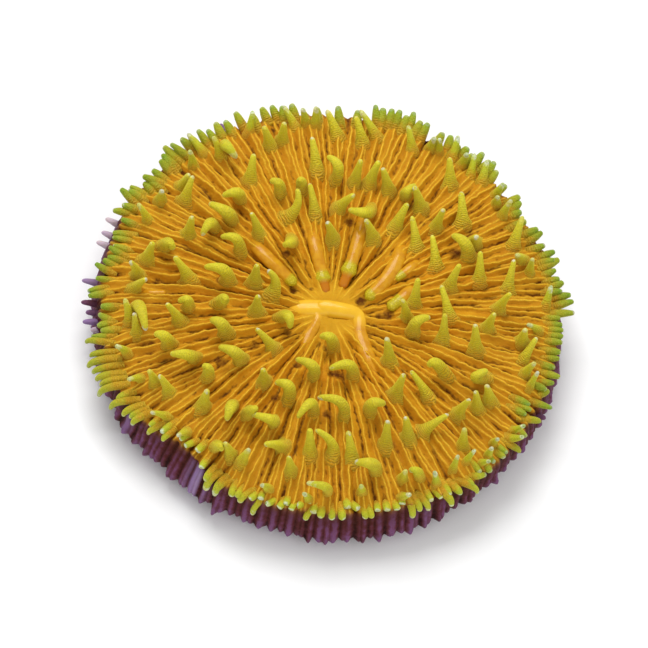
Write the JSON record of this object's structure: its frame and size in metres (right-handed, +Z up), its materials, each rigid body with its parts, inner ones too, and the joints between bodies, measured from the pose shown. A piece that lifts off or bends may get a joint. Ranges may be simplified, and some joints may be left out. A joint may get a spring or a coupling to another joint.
{
  "type": "mushroom coral",
  "caption": "Round, gently domed plate coral with a slit mouth, radiating thin septa, short horn-shaped tentacles, a fringed rim and a ribbed skirt; rests on its flat underside.",
  "frame": {"origin": "centre of the flat underside that the coral rests on", "axes": "+Z up, out of the mouth side of the disc; +X along the mouth slit; -Y towards the viewer of the picture"},
  "size_m": [0.1127, 0.1128, 0.0236],
  "materials": {
    "tissue": "moist golden-orange tissue with a soft satin surface over a limestone skeleton, purple-brown on the skirt"
  },
  "bodies": {
    "root": {"coral": "tissue"}
  },
  "joints": []
}
